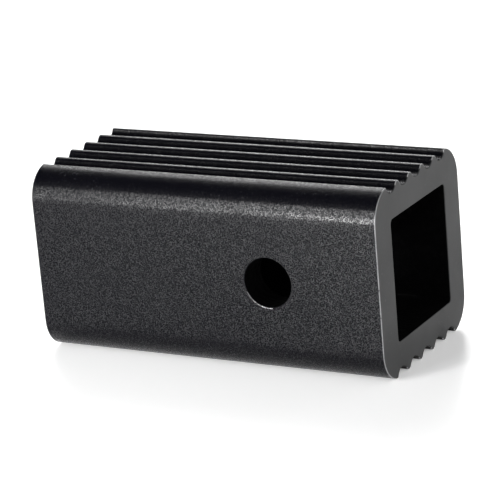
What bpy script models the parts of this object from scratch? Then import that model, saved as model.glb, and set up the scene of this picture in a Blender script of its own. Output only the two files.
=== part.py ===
# Square hitch adapter, which lets a small hitch shank fit a larger receiver. It is one length of
# extruded aluminium: a square sleeve with a square socket right through it, grooves along its top
# and bottom, and one cross hole for the hitch pin. The socket runs along X, through the origin at
# the middle of the sleeve. The pin hole is nearer the +X end, the socket's mouth.

import math

import bmesh
import bpy

MM = 0.001

# Sleeve
OUTER_SIZE = 50.8 * MM  # square, for a 2 in receiver
LENGTH = 101.6 * MM
CORNER_RADIUS = 8.8 * MM

# Grooves along the top and the bottom
GROOVE_COUNT = 5
GROOVE_PITCH = 7.5 * MM
GROOVE_DEPTH = 2.25 * MM
RIB_TIP_RADIUS = 1.35 * MM
LAND_TIP_RADIUS = 0.5 * MM  # on the land between the last groove and the corner

# Socket for a 1-1/4 in shank: the square that the walls leave
WALL = 9 * MM  # from the socket to the sides and to the tips of the ribs
SOCKET_CORNER_RADIUS = 1.2 * MM

# Cross hole for the hitch pin
PIN_DIAMETER = 12.7 * MM  # 1/2 in
PIN_CLEARANCE = 0.8 * MM  # on the diameter
PIN_FROM_MOUTH = 31.75 * MM

# Broken edges
END_EDGE_BREAK = 0.3 * MM
PIN_EDGE_BREAK = 0.25 * MM

# Facets and cutters
ARC_STEP = math.radians(9)
PIN_HOLE_SIDES = 64
CUTTER_OVERRUN = 2 * MM
SAME_POINT = 0.0001 * MM
SHARP_ANGLE = math.radians(30)

# Black textured coating
COAT_COLOUR = (0.035, 0.036, 0.039, 1)
COAT_ROUGHNESS = 0.55
COAT_METALLIC = 0


def clear_scene():
    for old in list(bpy.data.objects):
        bpy.data.objects.remove(old)


def arc(centre, radius, start, end):
    """Points in (y, z) from one angle to another, in steps no larger than ARC_STEP."""
    steps = max(1, math.ceil(abs(end - start) / ARC_STEP))
    turns = [start + (end - start) * step / steps for step in range(steps + 1)]
    return [(centre[0] + radius * math.cos(turn), centre[1] + radius * math.sin(turn)) for turn in turns]


def bearing(start, end):
    return math.atan2(end[1] - start[1], end[0] - start[0])


def without_repeats(points):
    """A closed outline's points, with each that only repeats the one before it left out."""
    before = points[-1:] + points[:-1]
    return [point for point, last in zip(points, before) if math.dist(point, last) > SAME_POINT]


def sleeve_outline(inset):
    """Clockwise outline of the sleeve's section, drawn in by inset all round.

    A groove is a round trough, and the rib between two grooves is a round tip that both troughs
    run into. The land outside the last groove has a sharper tip, as high as the ribs, which runs
    into the corner.
    """
    half = OUTER_SIZE / 2
    centres_apart = (GROOVE_PITCH**2 / 4 + GROOVE_DEPTH**2) / (2 * GROOVE_DEPTH)
    trough_radius = centres_apart - RIB_TIP_RADIUS
    trough_z = half - GROOVE_DEPTH + trough_radius
    rib_z = half - RIB_TIP_RADIUS
    rib_lean = bearing((0, trough_z), (GROOVE_PITCH / 2, rib_z))

    last_groove = (GROOVE_COUNT - 1) / 2 * GROOVE_PITCH
    land_z = half - LAND_TIP_RADIUS
    land_reach = math.sqrt((trough_radius + LAND_TIP_RADIUS) ** 2 - (trough_z - land_z) ** 2)
    land_tip = (last_groove + land_reach, land_z)
    land_lean = bearing((last_groove, trough_z), land_tip)

    corner_y = half - CORNER_RADIUS
    corner_from_tip = CORNER_RADIUS - LAND_TIP_RADIUS
    land_end = math.acos(max(0, land_tip[0] - corner_y) / corner_from_tip)
    corner = (corner_y, land_z - corner_from_tip * math.sin(land_end))

    trough = trough_radius + inset
    tip = RIB_TIP_RADIUS - inset
    land = arc(land_tip, LAND_TIP_RADIUS - inset, math.pi + land_lean, land_end)
    land += arc(corner, CORNER_RADIUS - inset, land_end, 0)

    upper = [(-y, z) for y, z in reversed(land)]
    for groove in range(GROOVE_COUNT):
        groove_y = groove * GROOVE_PITCH - last_groove
        first, last = groove == 0, groove == GROOVE_COUNT - 1
        start = math.pi - (land_lean if first else rib_lean)
        end = 2 * math.pi + (land_lean if last else rib_lean)
        upper += arc((groove_y, trough_z), trough, start, end)
        if not last:
            upper += arc((groove_y + GROOVE_PITCH / 2, rib_z), tip, math.pi + rib_lean, -rib_lean)
    upper += land

    lower = [(-y, -z) for y, z in upper]
    return without_repeats(upper + lower)


def socket_outline(outset):
    """Clockwise outline of the socket's section, moved out by outset all round."""
    centre = OUTER_SIZE / 2 - WALL - SOCKET_CORNER_RADIUS
    right = arc((centre, centre), SOCKET_CORNER_RADIUS + outset, math.pi / 2, 0)
    right += arc((centre, -centre), SOCKET_CORNER_RADIUS + outset, 0, -math.pi / 2)
    left = [(-y, -z) for y, z in right]
    return without_repeats(right + left)


def pin_outline(outset):
    """Circle of the pin hole in (x, z), moved out by outset."""
    pin_x = LENGTH / 2 - PIN_FROM_MOUTH
    radius = (PIN_DIAMETER + PIN_CLEARANCE) / 2 + outset
    turns = [2 * math.pi * side / PIN_HOLE_SIDES for side in range(PIN_HOLE_SIDES)]
    return [(pin_x + radius * math.cos(turn), radius * math.sin(turn)) for turn in turns]


def lofted(name, rings):
    """Closed solid through rings of as many points each, with a flat cap at both ends."""
    solid = bmesh.new()
    loops = [[solid.verts.new(point) for point in ring] for ring in rings]
    for near, far in zip(loops, loops[1:]):
        for side in range(len(near)):
            solid.faces.new((near[side - 1], near[side], far[side], far[side - 1]))
    solid.faces.new(loops[0])
    solid.faces.new(loops[-1])
    bmesh.ops.recalc_face_normals(solid, faces=solid.faces)
    mesh = bpy.data.meshes.new(name)
    solid.to_mesh(mesh)
    solid.free()
    made = bpy.data.objects.new(name, mesh)
    bpy.context.scene.collection.objects.link(made)
    return made


def stations(reach, edge_break, overrun=0):
    """(place, change of outline) at each ring of a length that reaches this far each way. Both its
    ends slope over the edge break, and a cutter's run on out of the metal at the same slope."""
    change = edge_break + overrun
    return (
        (-reach - overrun, change),
        (-reach + edge_break, 0),
        (reach - edge_break, 0),
        (reach + overrun, change),
    )


def sleeve():
    along = stations(LENGTH / 2, END_EDGE_BREAK)
    return lofted("adapter_body", [[(x, y, z) for y, z in sleeve_outline(inset)] for x, inset in along])


def socket_cutter():
    along = stations(LENGTH / 2, END_EDGE_BREAK, CUTTER_OVERRUN)
    return lofted("socket_cutter", [[(x, y, z) for y, z in socket_outline(outset)] for x, outset in along])


def pin_cutter():
    across = stations(OUTER_SIZE / 2, PIN_EDGE_BREAK, CUTTER_OVERRUN)
    return lofted("pin_cutter", [[(x, y, z) for x, z in pin_outline(outset)] for y, outset in across])


def cut(body, cutter):
    modifier = body.modifiers.new(cutter.name, "BOOLEAN")
    modifier.operation = "DIFFERENCE"
    modifier.solver = "EXACT"
    modifier.object = cutter
    bpy.context.view_layer.objects.active = body
    bpy.ops.object.modifier_apply(modifier=modifier.name)
    bpy.data.objects.remove(cutter)


def black_coating():
    material = bpy.data.materials.new("black_coating")
    material.use_nodes = True
    surface = material.node_tree.nodes["Principled BSDF"]
    surface.inputs["Base Color"].default_value = COAT_COLOUR
    surface.inputs["Roughness"].default_value = COAT_ROUGHNESS
    surface.inputs["Metallic"].default_value = COAT_METALLIC
    material.diffuse_color = COAT_COLOUR
    return material


clear_scene()
adapter = sleeve()
cut(adapter, socket_cutter())
cut(adapter, pin_cutter())
adapter.data.materials.clear()
adapter.data.materials.append(black_coating())
adapter.data.shade_smooth()
adapter.data.set_sharp_from_angle(angle=SHARP_ANGLE)
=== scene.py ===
import math

import bmesh
import bpy
from mathutils import Matrix, Vector


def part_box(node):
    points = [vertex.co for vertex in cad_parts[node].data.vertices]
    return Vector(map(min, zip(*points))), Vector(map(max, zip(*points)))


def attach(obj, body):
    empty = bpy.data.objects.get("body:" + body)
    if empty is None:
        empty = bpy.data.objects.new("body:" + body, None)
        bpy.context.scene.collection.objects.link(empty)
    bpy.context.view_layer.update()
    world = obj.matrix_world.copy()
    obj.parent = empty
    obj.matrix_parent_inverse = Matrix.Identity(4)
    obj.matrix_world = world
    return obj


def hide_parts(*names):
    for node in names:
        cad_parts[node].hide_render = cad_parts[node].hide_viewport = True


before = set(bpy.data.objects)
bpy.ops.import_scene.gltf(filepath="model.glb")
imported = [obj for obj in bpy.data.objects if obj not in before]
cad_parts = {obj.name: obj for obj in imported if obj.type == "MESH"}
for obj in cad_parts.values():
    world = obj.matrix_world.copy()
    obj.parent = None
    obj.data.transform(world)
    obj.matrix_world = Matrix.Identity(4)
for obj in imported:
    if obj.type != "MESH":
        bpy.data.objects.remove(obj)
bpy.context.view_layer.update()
bodyLow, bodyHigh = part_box("adapter_body")
bodyLength = bodyHigh.x - bodyLow.x
bodyWidth = bodyHigh.y - bodyLow.y
bodyHeight = bodyHigh.z - bodyLow.z
print("frame loaded")


# small helpers

def deselectAll():
    if bpy.context.object and bpy.context.object.mode != "OBJECT":
        bpy.ops.object.mode_set(mode="OBJECT")
    bpy.ops.object.select_all(action="DESELECT")


def makeActive(piece):
    deselectAll()
    piece.select_set(True)
    bpy.context.view_layer.objects.active = piece


def applyPlace(piece):  # the place goes into the mesh, and the object back to the origin
    makeActive(piece)
    bpy.ops.object.transform_apply(location=True, rotation=True, scale=True)


def selectEdges(piece, wanted):  # leaves edit mode on, with only the wanted edges selected
    makeActive(piece)
    bpy.ops.object.mode_set(mode="EDIT")
    bpy.ops.mesh.select_mode(type="EDGE")
    bpy.ops.mesh.select_all(action="DESELECT")
    mesh = bmesh.from_edit_mesh(piece.data)
    for edge in mesh.edges:
        edge.select_set(wanted(edge))
    bmesh.update_edit_mesh(piece.data)


def bevelEdges(piece, wanted, width, steps, material=-1):  # -1 is the material of the faces beside
    selectEdges(piece, wanted)
    bpy.ops.mesh.bevel(
        offset=width, segments=steps, profile=0.5, clamp_overlap=False, material=material
    )
    bpy.ops.object.mode_set(mode="OBJECT")


def cutAway(piece, cutter):
    makeActive(piece)
    boolean = piece.modifiers.new("cut", "BOOLEAN")
    boolean.operation = "DIFFERENCE"
    boolean.object = cutter
    bpy.ops.object.modifier_apply(modifier=boolean.name)
    bpy.data.objects.remove(cutter)


# the sleeve: one extruded bar, ribbed above and below, with the socket and the pin hole cut through

sleeve = {
    "grooves": 5,
    "pitch": 0.0075,
    "depth": 0.00225,
    "ribTipRadius": 0.00135,
    "landTipRadius": 0.0005,
    "cornerRadius": 0.0088,
    "easeRadius": 0.025,  # a slower curve that carries the corner into the flat side
    "easeTurn": 4,  # degrees
    "arcStep": 4,  # degrees between points round the outline
    "flatTurn": 0.5,  # degrees between faces that count as one flat
    "wall": 0.009,
    "socketCornerRadius": 0.0012,
    "socketCornerSteps": 10,
    "pinHoleRadius": 0.00675,
    "pinHoleSides": 144,
    "pinFromMouth": 0.03175,
    "overrun": 0.003,  # how far the cutters stand out past the bar
    "endEdge": 0.0002,
    "pinEdge": 0.00018,
    "edgeSteps": 4,
    "rimTurn": 40,  # degrees between the faces that meet at an edge to be broken
    "smoothTurn": 35,  # degrees between faces up to which they are shaded as one
    "samePoint": 0.000002,
    "touching": 0.00001,  # how near to a surface counts as on it
    "rimRoom": 0.001,  # how far past the socket's walls its rims are looked for
    "sheltered": 0.4,  # share of a groove's depth below which nothing rubs
    "dragLimits": (0.001, -0.003),  # from the pin hole's axis, in x and in z
    "boreLean": 0.5,  # how far a face's normal may lean along the pin hole and still be its wall
}
pinX = bodyHigh.x - sleeve["pinFromMouth"]
socketReach = bodyWidth / 2 - sleeve["wall"]
coatSlot, cutFaceSlot, rubbedSlot, borePaintedShadeSlot, wornRimSlot = 0, 1, 2, 3, 4


def spinOn(centre, turn):
    # carries the outline's last point round a centre in (y, z); a positive turn bends it upwards
    steps = max(1, math.ceil(abs(math.degrees(turn)) / sleeve["arcStep"]))
    bpy.ops.mesh.spin(
        steps=steps, angle=-turn, center=(bodyLow.x, centre.x, centre.y), axis=(1, 0, 0)
    )


def traceQuarter():
    # from the middle of the top to the middle of the far side
    half = bodyHeight / 2
    pitch, depth, corner = sleeve["pitch"], sleeve["depth"], sleeve["cornerRadius"]
    ribTip, landTip = sleeve["ribTipRadius"], sleeve["landTipRadius"]
    trough = (pitch**2 / 4 + depth**2) / (2 * depth) - ribTip
    troughZ = half - depth + trough
    ribZ = half - ribTip
    climb = math.atan2(pitch / 2, troughZ - ribZ)
    lastY = (sleeve["grooves"] - 1) / 2 * pitch
    landZ = half - landTip
    landY = lastY + math.sqrt((trough + landTip)**2 - (troughZ - landZ)**2)
    landClimb = math.atan2(landY - lastY, troughZ - landZ)
    easeRadius, easeTurn = sleeve["easeRadius"], math.radians(sleeve["easeTurn"])
    easeY = bodyWidth / 2 - easeRadius
    cornerY = easeY + (easeRadius - corner) * math.cos(easeTurn)
    cornerTurn = math.acos(max(0, landY - cornerY) / (corner - landTip))
    cornerZ = landZ - (corner - landTip) * math.sin(cornerTurn)
    easeZ = cornerZ - (easeRadius - corner) * math.sin(easeTurn)

    deselectAll()
    bpy.ops.mesh.primitive_plane_add(size=ribTip, location=(bodyLow.x, 0, half - depth))
    outline = bpy.context.object
    bpy.ops.object.mode_set(mode="EDIT")
    bpy.ops.mesh.select_mode(type="VERT")
    bpy.ops.mesh.merge(type="CENTER")  # the plane becomes the outline's first point
    heading = 0
    for groove in range((sleeve["grooves"] + 1) // 2):
        grooveY = groove * pitch
        if grooveY < lastY:
            spinOn(Vector((grooveY, troughZ)), climb - heading)
            spinOn(Vector((grooveY + pitch / 2, ribZ)), -2 * climb)
            heading = -climb
        else:
            spinOn(Vector((grooveY, troughZ)), landClimb - heading)
            heading = landClimb
    spinOn(Vector((landY, landZ)), cornerTurn - math.pi / 2 - heading)
    spinOn(Vector((cornerY, cornerZ)), easeTurn - cornerTurn)
    spinOn(Vector((easeY, easeZ)), -easeTurn)
    bpy.ops.mesh.extrude_region_move(TRANSFORM_OT_translate={"value": (0, 0, -easeZ)})
    bpy.ops.object.mode_set(mode="OBJECT")
    return outline


def extrudeBar(outline):
    applyPlace(outline)
    mirror = outline.modifiers.new("mirror", "MIRROR")
    mirror.use_axis = (False, True, True)
    mirror.merge_threshold = sleeve["samePoint"]
    bpy.ops.object.modifier_apply(modifier=mirror.name)
    bpy.ops.object.mode_set(mode="EDIT")
    bpy.ops.mesh.select_mode(type="VERT")
    bpy.ops.mesh.select_all(action="SELECT")
    bpy.ops.mesh.remove_doubles(threshold=sleeve["samePoint"])
    bpy.ops.mesh.edge_face_add()
    bpy.ops.mesh.extrude_region_move(TRANSFORM_OT_translate={"value": (bodyLength, 0, 0)})
    bpy.ops.mesh.select_all(action="SELECT")
    bpy.ops.mesh.dissolve_limited(angle_limit=math.radians(sleeve["flatTurn"]))
    bpy.ops.mesh.normals_make_consistent(inside=False)
    bpy.ops.object.mode_set(mode="OBJECT")


def socketCutter():
    along, across = bodyLength + 2 * sleeve["overrun"], bodyWidth - 2 * sleeve["wall"]
    deselectAll()
    bpy.ops.mesh.primitive_cube_add(size=1, scale=(along, across, across))
    cutter = bpy.context.object
    applyPlace(cutter)
    bevelEdges(
        cutter,
        lambda edge: abs(edge.verts[0].co.x - edge.verts[1].co.x) > bodyLength,
        sleeve["socketCornerRadius"],
        sleeve["socketCornerSteps"],
    )
    return cutter


def pinCutter():
    deselectAll()
    bpy.ops.mesh.primitive_cylinder_add(
        vertices=sleeve["pinHoleSides"],
        radius=sleeve["pinHoleRadius"],
        depth=bodyWidth + 2 * sleeve["overrun"],
        location=(pinX, 0, 0),
        rotation=(math.radians(90), 0, 0),
    )
    cutter = bpy.context.object
    applyPlace(cutter)
    return cutter


def isAtEnd(point):
    return abs(point.x) > bodyLength / 2 - sleeve["touching"]


def isSharp(edge):
    return edge.calc_face_angle(0) > math.radians(sleeve["rimTurn"])


def isEndRim(edge):  # round an end face, outside or at the socket
    return all(isAtEnd(vert.co) for vert in edge.verts) and isSharp(edge)


def isSocketRim(edge):
    reach = socketReach + sleeve["rimRoom"]
    inside = all(max(abs(vert.co.y), abs(vert.co.z)) < reach for vert in edge.verts)
    return inside and isEndRim(edge)


def isPinRim(edge):
    atSide = all(abs(vert.co.y) > bodyWidth / 2 - sleeve["touching"] for vert in edge.verts)
    return atSide and isSharp(edge)


def isSheltered(face):  # down in a groove, where nothing rubs the edge
    inGrooves = abs(face.center.y) < sleeve["grooves"] / 2 * sleeve["pitch"]
    return inGrooves and abs(face.center.z) < bodyHeight / 2 - sleeve["sheltered"] * sleeve["depth"]


def isDraggedOver(face):  # on a pin hole's rim, where the pin drags as it goes in
    limitX, limitZ = sleeve["dragLimits"]
    return face.center.x < pinX + limitX and face.center.z < limitZ


def isInBore(face):  # on the walls of the socket or of the pin hole
    inSocket = max(abs(face.center.y), abs(face.center.z)) < socketReach + sleeve["touching"]
    fromPin = Vector((face.center.x - pinX, face.center.z)).length
    inPinHole = fromPin < sleeve["pinHoleRadius"] + sleeve["touching"]
    return inSocket or inPinHole and abs(face.normal.y) < sleeve["boreLean"]


def buildSleeve(materials):
    piece = traceQuarter()
    extrudeBar(piece)
    cutAway(piece, socketCutter())
    cutAway(piece, pinCutter())
    for material in materials:
        piece.data.materials.append(material)
    for face in piece.data.polygons:
        if isAtEnd(face.center):
            face.material_index = cutFaceSlot
        else:
            # the walls inside take the blacker bore coat, painted shade for the unlit inside
            face.material_index = borePaintedShadeSlot if isInBore(face) else coatSlot
    steps = sleeve["edgeSteps"]
    bevelEdges(piece, isSocketRim, sleeve["endEdge"], steps, cutFaceSlot)
    bevelEdges(piece, isEndRim, sleeve["endEdge"], steps, rubbedSlot)
    bevelEdges(piece, isPinRim, sleeve["pinEdge"], steps, wornRimSlot)
    for face in piece.data.polygons:
        if face.material_index == rubbedSlot and isSheltered(face):
            face.material_index = cutFaceSlot
        elif face.material_index == wornRimSlot and not isDraggedOver(face):
            face.material_index = coatSlot
    makeActive(piece)
    bpy.ops.object.shade_smooth_by_angle(angle=math.radians(sleeve["smoothTurn"]))
    weighted = piece.modifiers.new("weighted", "WEIGHTED_NORMAL")
    weighted.keep_sharp = True
    bpy.ops.object.modifier_apply(modifier=weighted.name)
    piece.name = piece.data.name = "adapterSleeve"
    return piece


# node helpers

nodeSpacing = 200


def addNode(tree, kind, place, settings=None, inputs=None):
    # an input may be a plain value, or another node's output to link
    node = tree.nodes.new(kind)
    node.location = (place[0] * nodeSpacing, -place[1] * nodeSpacing)
    for key, value in (settings or {}).items():
        setattr(node, key, value)
    for key, value in (inputs or {}).items():
        if isinstance(value, bpy.types.NodeSocket):
            tree.links.new(value, node.inputs[key])
        else:
            node.inputs[key].default_value = value
    return node


def addMath(tree, place, operation, *values):
    inputs = dict(enumerate(values))
    return addNode(tree, "ShaderNodeMath", place, {"operation": operation}, inputs).outputs[0]


def addFade(tree, place, value, span, ends=(0.0, 1.0), kind="SMOOTHSTEP"):
    # goes from the first end to the second while the value crosses the span
    return addNode(
        tree, "ShaderNodeMapRange", place, {"interpolation_type": kind},
        {
            "Value": value,
            "From Min": span[0],
            "From Max": span[1],
            "To Min": ends[0],
            "To Max": ends[1],
        },
    ).outputs[0]


def addNoise(tree, place, vector, scale, detail, roughness):
    return addNode(
        tree, "ShaderNodeTexNoise", place, None,
        {"Vector": vector, "Scale": scale, "Detail": detail, "Roughness": roughness},
    ).outputs["Fac"]


def newGroup(name, inputs, outputs):
    group = bpy.data.node_groups.new(name, "ShaderNodeTree")
    for label, kind, value in inputs:
        socket = group.interface.new_socket(label, in_out="INPUT", socket_type=kind)
        if value is not None:
            socket.default_value = value
    for label, kind in outputs:
        group.interface.new_socket(label, in_out="OUTPUT", socket_type=kind)
    groupInput = addNode(group, "NodeGroupInput", (0, 0))
    return group, groupInput.outputs


def closeGroup(group, place, outputs):
    addNode(group, "NodeGroupOutput", place, inputs=outputs)


def addGroup(tree, group, place, inputs):
    return addNode(tree, "ShaderNodeGroup", place, {"node_tree": group}, inputs).outputs


def newMaterial(name):
    material = bpy.data.materials.new(name)
    material.use_nodes = True
    tree = material.node_tree
    tree.nodes.clear()
    coordinates = addNode(tree, "ShaderNodeTexCoord", (0, 0)).outputs["Object"]
    return material, tree, coordinates


def finishMaterial(tree, place, inputs):
    surface = addNode(tree, "ShaderNodeBsdfPrincipled", place, inputs=inputs).outputs["BSDF"]
    addNode(tree, "ShaderNodeOutputMaterial", (place[0] + 2, place[1]), None, {"Surface": surface})


# effects that the finishes share

effects = {
    "wavesToPebble": 0.33,
    "fleckSpan": (0.50, 1.0),  # of what each pebble draws, from plain to the brightest fleck
    "smudgeSpan": (0.35, 0.68),  # of the noise, from clean to smudged
    "dustSpan": (0.66, 0.74),
    "breakSpan": 0.12,  # of the noise, from sound coat to rubbed through
}


def coatGrainGroup():
    # the skin of a textured coat: fine pebbles, some of them flecks, over a slow orange-peel wave
    group, given = newGroup(
        "coatGrain",
        (
            ("Vector", "NodeSocketVector", None),
            ("Grain Size", "NodeSocketFloat", 0.0005),
            ("Wave Share", "NodeSocketFloat", 0.4),
        ),
        (("Height", "NodeSocketFloat"), ("Fleck", "NodeSocketFloat")),
    )
    density = addMath(group, (1, 1), "DIVIDE", 1.0, given["Grain Size"])
    coarse = addMath(group, (2, 2), "MULTIPLY", density, effects["wavesToPebble"])
    pebbles = addNode(
        group, "ShaderNodeTexVoronoi", (3, 0), {"feature": "F1"},
        {"Vector": given["Vector"], "Scale": density, "Randomness": 1.0},
    ).outputs
    wave = addNoise(group, (3, 2), given["Vector"], coarse, detail=1.0, roughness=0.5)
    slow = addMath(group, (4, 2), "MULTIPLY", wave, given["Wave Share"])
    height = addMath(group, (5, 1), "SUBTRACT", slow, pebbles["Distance"])
    drawn = addNode(group, "ShaderNodeSeparateColor", (4, 0), None, {"Color": pebbles["Color"]})
    fleck = addFade(group, (5, 0), drawn.outputs["Red"], effects["fleckSpan"])
    closeGroup(group, (7, 0), {"Height": height, "Fleck": fleck})
    return group


def handlingGroup():
    # where hands and cloths have been: broad soft smudges, and a thin scatter of dust
    group, given = newGroup(
        "handling",
        (
            ("Vector", "NodeSocketVector", None),
            ("Smudge Size", "NodeSocketFloat", 0.02),
            ("Dust Size", "NodeSocketFloat", 0.0006),
        ),
        (("Smudge", "NodeSocketFloat"), ("Dust", "NodeSocketFloat")),
    )
    smudgeScale = addMath(group, (1, 0), "DIVIDE", 1.0, given["Smudge Size"])
    dustScale = addMath(group, (1, 2), "DIVIDE", 1.0, given["Dust Size"])
    broad = addNoise(group, (2, 0), given["Vector"], smudgeScale, detail=3.0, roughness=0.55)
    smudge = addFade(group, (4, 0), broad, effects["smudgeSpan"])
    fine = addNoise(group, (2, 2), given["Vector"], dustScale, detail=1.0, roughness=0.5)
    specks = addFade(group, (4, 2), fine, effects["dustSpan"], kind="LINEAR")
    dust = addMath(group, (5, 1), "MULTIPLY", specks, smudge)
    closeGroup(group, (7, 0), {"Smudge": smudge, "Dust": dust})
    return group


def edgeWearGroup():
    # coat rubbed thin near the two sawn ends, in a broken line
    group, given = newGroup(
        "edgeWear",
        (
            ("Vector", "NodeSocketVector", None),
            ("Reach", "NodeSocketFloat", 0.0004),
            ("Break Size", "NodeSocketFloat", 0.0012),
            ("Cover", "NodeSocketFloat", 0.5),
        ),
        (("Wear", "NodeSocketFloat"),),
    )
    place = addNode(group, "ShaderNodeSeparateXYZ", (1, 0), None, {"Vector": given["Vector"]})
    fromMiddle = addMath(group, (2, 0), "ABSOLUTE", place.outputs["X"])
    fromEnd = addMath(group, (3, 0), "SUBTRACT", bodyLength / 2, fromMiddle)
    near = addFade(group, (4, 0), fromEnd, (0.0, given["Reach"]), ends=(1.0, 0.0))
    breakScale = addMath(group, (1, 2), "DIVIDE", 1.0, given["Break Size"])
    breaks = addNoise(group, (2, 2), given["Vector"], breakScale, detail=4.0, roughness=0.65)
    level = addMath(group, (3, 2), "SUBTRACT", 1.0, given["Cover"])
    upper = addMath(group, (4, 3), "ADD", level, effects["breakSpan"])
    broken = addFade(group, (5, 2), breaks, (level, upper))
    wear = addMath(group, (6, 1), "MULTIPLY", near, broken)
    closeGroup(group, (8, 0), {"Wear": wear})
    return group


coatGrain = coatGrainGroup()
handling = handlingGroup()
edgeWear = edgeWearGroup()


# finishes

clearSkin = {"roughness": 0.17, "index": 1.42}  # over every finish, as far as its gloss says

texturedCoat = {
    "black": (0.0020, 0.0020, 0.0032, 1),
    "greyer": (0.0040, 0.0040, 0.0052, 1),  # on the flecks
    "dust": (0.02, 0.02, 0.022, 1),
    "rubbed": (0.30, 0.31, 0.32, 1),  # bare metal
    "roughness": (0.17, 0.23),  # clean, and smudged
    "shine": 1.12,  # the refractive index under the clear skin
    "gloss": (0.06, 0.74),  # the weight of the clear skin between the flecks, and on them
    "grainSize": 0.00018,
    "grainDepth": 0.00004,
    "waveShare": 0.3,
    "wearReach": 0.0005,  # how far in from the ends the coat is rubbed
    "wearCover": 0.42,  # more rubs through in longer stretches
}

cutFaceCoat = {
    "black": (0.009, 0.0093, 0.0100, 1),
    "greyer": (0.011, 0.0113, 0.0120, 1),
    "dust": (0.03, 0.03, 0.032, 1),
    "rubbed": (0.30, 0.31, 0.32, 1),
    "roughness": (0.42, 0.48),
    "shine": 1.4,
    "gloss": (0.0, 0.05),
    "grainSize": 0.0003,
    "grainDepth": 0.000004,
    "waveShare": 0.3,
    "wearReach": 0.00001,
    "wearCover": 0.1,
}

rubbedCoat = {
    "black": (0.012, 0.012, 0.013, 1),
    "greyer": (0.03, 0.03, 0.031, 1),
    "dust": (0.05, 0.05, 0.052, 1),
    "rubbed": (0.28, 0.28, 0.285, 1),
    "roughness": (0.34, 0.46),
    "shine": 1.45,
    "gloss": (0.4, 0.9),
    "grainSize": 0.0003,
    "grainDepth": 0.000004,
    "waveShare": 0.3,
    "wearReach": 0.02,
    "wearCover": 0.70,
}

wornRim = {
    **rubbedCoat,
    "rubbed": (0.17, 0.17, 0.175, 1),
    "roughness": (0.24, 0.32),
    "wearReach": 0.12,
    "wearCover": 0.6,
}

# the walls inside the socket and the pin hole: blacker than the outer coat, which is painted shade
# for the unlit inside
borePaintedShade = {
    "black": (0.0011, 0.0011, 0.0013, 1),
    "greyer": (0.0018, 0.0018, 0.0020, 1),
    "dust": (0.004, 0.004, 0.004, 1),
    "rubbed": (0.05, 0.05, 0.05, 1),
    "roughness": (0.75, 0.85),
    "shine": 1.1,
    "gloss": (0.0, 0.02),
    "grainSize": 0.0015,
    "grainDepth": 0.00015,
    "waveShare": 0.4,
    "wearReach": 0.00001,
    "wearCover": 0.1,
}


def mixColour(tree, place, share, first, second):
    # the mix node has its colours at inputs 6 and 7, and at output 2
    inputs = {"Factor": share, 6: first, 7: second}
    return addNode(tree, "ShaderNodeMix", place, {"data_type": "RGBA"}, inputs).outputs[2]


def mixValue(tree, place, share, ends):
    return addFade(tree, place, share, (0.0, 1.0), ends, "LINEAR")


def coatMaterial(name, finish):
    material, tree, coordinates = newMaterial(name)
    grain = addGroup(
        tree, coatGrain, (1, 0),
        {
            "Vector": coordinates,
            "Grain Size": finish["grainSize"],
            "Wave Share": finish["waveShare"],
        },
    )
    marks = addGroup(tree, handling, (1, 1), {"Vector": coordinates})
    wear = addGroup(
        tree, edgeWear, (1, 2),
        {"Vector": coordinates, "Reach": finish["wearReach"], "Cover": finish["wearCover"]},
    )["Wear"]
    black = mixColour(tree, (3, 0), grain["Fleck"], finish["black"], finish["greyer"])
    dusted = mixColour(tree, (4, 0), marks["Dust"], black, finish["dust"])
    colour = mixColour(tree, (5, 0), wear, dusted, finish["rubbed"])
    roughness = mixValue(tree, (4, 1), marks["Smudge"], finish["roughness"])
    gloss = mixValue(tree, (4, 2), grain["Fleck"], finish["gloss"])
    bump = addNode(
        tree, "ShaderNodeBump", (4, 3), None,
        {"Height": grain["Height"], "Strength": 1.0, "Distance": finish["grainDepth"]},
    ).outputs["Normal"]
    finishMaterial(
        tree, (7, 0),
        {
            "Base Color": colour,
            "Roughness": roughness,
            "Metallic": wear,
            "IOR": finish["shine"],
            "Coat Weight": gloss,
            "Coat Roughness": clearSkin["roughness"],
            "Coat IOR": clearSkin["index"],
            "Normal": bump,
        },
    )
    return material


adapterSleeve = buildSleeve(
    [
        coatMaterial("texturedCoat", texturedCoat),
        coatMaterial("cutFaceCoat", cutFaceCoat),
        coatMaterial("rubbedCoat", rubbedCoat),
        coatMaterial("borePaintedShade", borePaintedShade),
        coatMaterial("wornRim", wornRim),
    ]
)
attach(adapterSleeve, "root")
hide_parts("adapter_body")
print("sleeve built:", len(adapterSleeve.data.polygons), "faces")


# the studio: a wide pale floor, a pale horizon under a dim ceiling, and soft lamps

studio = {
    "floorRadius": 6.0,
    "floorSides": 96,
    "floorInset": 0.6,  # share of the radius
    "floorGap": 0.00002,
    "floorColour": (0.88, 0.88, 0.88, 1),
    "floorRoughness": 0.3,
    "floorShine": 0.2,
    "nearGlow": 0.30,
    "farGlow": 1.0,  # where the lamps no longer reach
    "glowRise": (0.35, 1.1),  # metres from the object, over which the glow grows to the far one
    "horizonTop": 6,  # degrees of elevation up to which the surroundings stay white
    "horizonFade": 30,  # degrees above that, over which they fall to the ceiling's grey
    "ceiling": 0.02,
}

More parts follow.
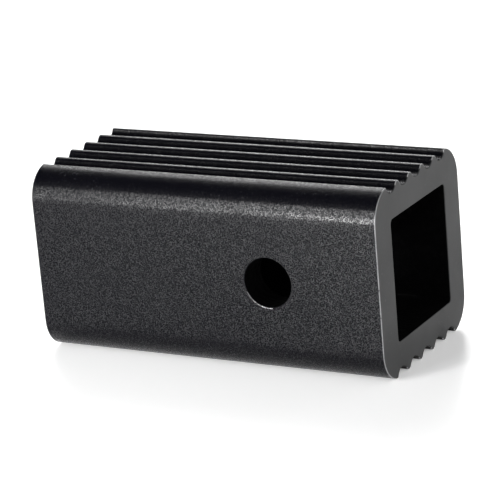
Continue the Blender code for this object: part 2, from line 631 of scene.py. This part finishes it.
lamps = (
    # name, place, aim, width, height, radiance
    ("frontStrip", (-0.30, -0.62, 0.215), (-0.30, 0, 0.215), 0.15, 0.47, 15.5),
    ("frontLeftBox", (-0.45, -0.62, 0.14), (-0.45, 0, 0.14), 0.15, 0.32, 8.0),
    ("highBox", (-0.37, -0.62, 0.42), (-0.37, 0, 0.42), 0.30, 0.20, 9.0),
    ("nearBox", (-0.085, -0.36, 0.05), (-0.02, 0, 0.015), 0.10, 0.10, 31.0),
    ("frontRightBox", (0.55, -0.45, 0.60), (0, 0, 0), 0.2, 0.2, 9.0),
    ("backBox", (-0.225, 0.345, 0.385), (0, 0, 0.02), 0.32, 0.31, 7.5),
    ("backLowBox", (-0.22, 0.50, 0.22), (0, 0, 0.02), 0.22, 0.12, 7.0),
    ("backRightBox", (0.55, 0.75, 0.25), (0, 0, 0), 0.3, 0.3, 3.0),
    ("overheadBox", (0.85, -0.10, 1.10), (0, 0, 0), 0.8, 0.8, 1.4),
)


def buildFloor():
    deselectAll()
    bpy.ops.mesh.primitive_circle_add(
        vertices=studio["floorSides"],
        radius=studio["floorRadius"],
        fill_type="NGON",
        location=(0, 0, bodyLow.z - studio["floorGap"]),
    )
    floor = bpy.context.object
    applyPlace(floor)
    bpy.ops.object.mode_set(mode="EDIT")
    bpy.ops.mesh.select_all(action="SELECT")
    bpy.ops.mesh.inset(thickness=studio["floorRadius"] * studio["floorInset"])
    bpy.ops.object.mode_set(mode="OBJECT")
    floor.name = "paleFloor"
    material, tree, coordinates = newMaterial("paleFloor")
    # the glow shows to the camera and in reflections only, and casts no light
    path = addNode(tree, "ShaderNodeLightPath", (0, 1)).outputs
    seen = addMath(tree, (1, 1), "MAXIMUM", path["Is Camera Ray"], path["Is Glossy Ray"])
    shown = addMath(tree, (2, 1), "MAXIMUM", seen, path["Is Transmission Ray"])
    distance = addNode(
        tree, "ShaderNodeVectorMath", (1, 2), {"operation": "LENGTH"}, {0: coordinates}
    ).outputs["Value"]
    ends = studio["nearGlow"], studio["farGlow"]
    level = addFade(tree, (2, 2), distance, studio["glowRise"], ends)
    glow = addMath(tree, (3, 1), "MULTIPLY", shown, level)
    finishMaterial(
        tree, (5, 0),
        {
            "Base Color": studio["floorColour"],
            "Roughness": studio["floorRoughness"],
            "Specular IOR Level": studio["floorShine"],
            "Emission Color": (1, 1, 1, 1),
            "Emission Strength": glow,
        },
    )
    floor.data.materials.append(material)


def buildSurroundings():
    world = bpy.data.worlds.new("paleHorizon")
    bpy.context.scene.world = world
    world.use_nodes = True
    tree = world.node_tree
    tree.nodes.clear()
    direction = addNode(tree, "ShaderNodeTexCoord", (0, 0)).outputs["Generated"]
    rise = addNode(tree, "ShaderNodeSeparateXYZ", (1, 0), None, {"Vector": direction}).outputs["Z"]
    top = math.sin(math.radians(studio["horizonTop"]))
    dimmed = math.sin(math.radians(studio["horizonTop"] + studio["horizonFade"]))
    strength = addFade(tree, (2, 0), rise, (top, dimmed), (1.0, studio["ceiling"]))
    background = addNode(
        tree, "ShaderNodeBackground", (4, 0), None, {"Color": (1, 1, 1, 1), "Strength": strength}
    ).outputs["Background"]
    addNode(tree, "ShaderNodeOutputWorld", (5, 0), None, {"Surface": background})


def addLamp(name, place, aim, width, height, radiance):
    light = bpy.data.lights.new(name, "AREA")
    light.shape = "RECTANGLE"
    light.size = width
    light.size_y = height
    light.energy = radiance * math.pi * width * height
    lamp = bpy.data.objects.new(name, light)
    lamp.location = place
    lamp.rotation_euler = (Vector(aim) - Vector(place)).to_track_quat("-Z", "Y").to_euler()
    lamp.visible_camera = False
    bpy.context.scene.collection.objects.link(lamp)


buildFloor()
buildSurroundings()
for lamp in lamps:
    addLamp(*lamp)
print("studio set")


# the camera, at the photograph's viewing angle

viewpoint = {
    "place": (0.317296, -0.556586, 0.203302),
    "right": (0.878600, 0.470549, -0.081521),
    "up": (-0.075312, 0.305090, 0.949341),
    "back": (0.471583, -0.827951, 0.303491),
    "lens": 180.701,
    "sensorWidth": 36,
    "nearest": 0.01,
    "farthest": 50,
}


def addCamera():
    camera = bpy.data.objects.new("camera", bpy.data.cameras.new("camera"))
    turned = Matrix([viewpoint["right"], viewpoint["up"], viewpoint["back"]]).transposed().to_4x4()
    camera.matrix_world = Matrix.Translation(viewpoint["place"]) @ turned
    camera.data.lens = viewpoint["lens"]
    camera.data.sensor_width = viewpoint["sensorWidth"]
    camera.data.clip_start = viewpoint["nearest"]
    camera.data.clip_end = viewpoint["farthest"]
    bpy.context.scene.collection.objects.link(camera)
    bpy.context.scene.camera = camera


addCamera()
bpy.context.scene.view_settings.view_transform = "Standard"
print("camera placed")
